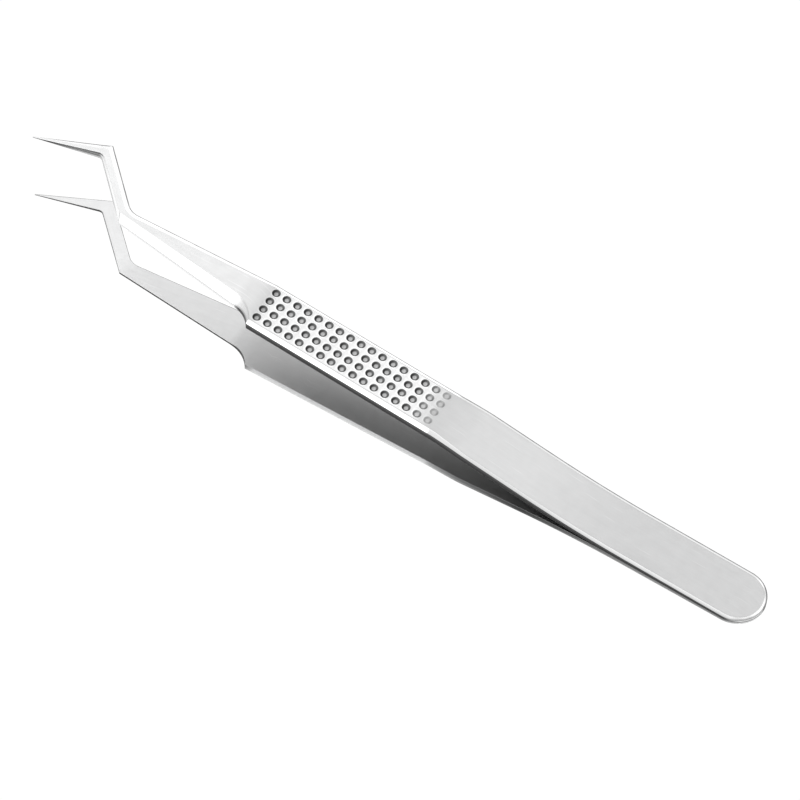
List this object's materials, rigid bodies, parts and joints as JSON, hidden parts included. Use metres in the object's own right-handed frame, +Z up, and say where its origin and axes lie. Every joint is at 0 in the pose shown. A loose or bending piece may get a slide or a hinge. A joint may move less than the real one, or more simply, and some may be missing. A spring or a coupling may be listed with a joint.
{
  "type": "angled precision tweezers",
  "caption": "Fine-point tweezers with bent needle tips, dimpled grips and a welded spring tang, for picking up small electronic parts.",
  "frame": {"origin": "on the outer grip face of the lower arm, which rests on the plane z = 0, half way between two columns of dimples near the middle of the grip", "axes": "+X along the tweezers from the round rear end towards the points; +Z up, out of the face that the tweezers rest on; the necks lean towards -Y; the plane between the two arms rises 3.2 degrees towards the points"},
  "size_m": [0.1402, 0.0158, 0.017],
  "materials": {
    "steel": "satin-ground stainless steel with brighter bevels"
  },
  "bodies": {
    "root": {"upper_arm": "steel", "lower_arm": "steel"}
  },
  "joints": []
}
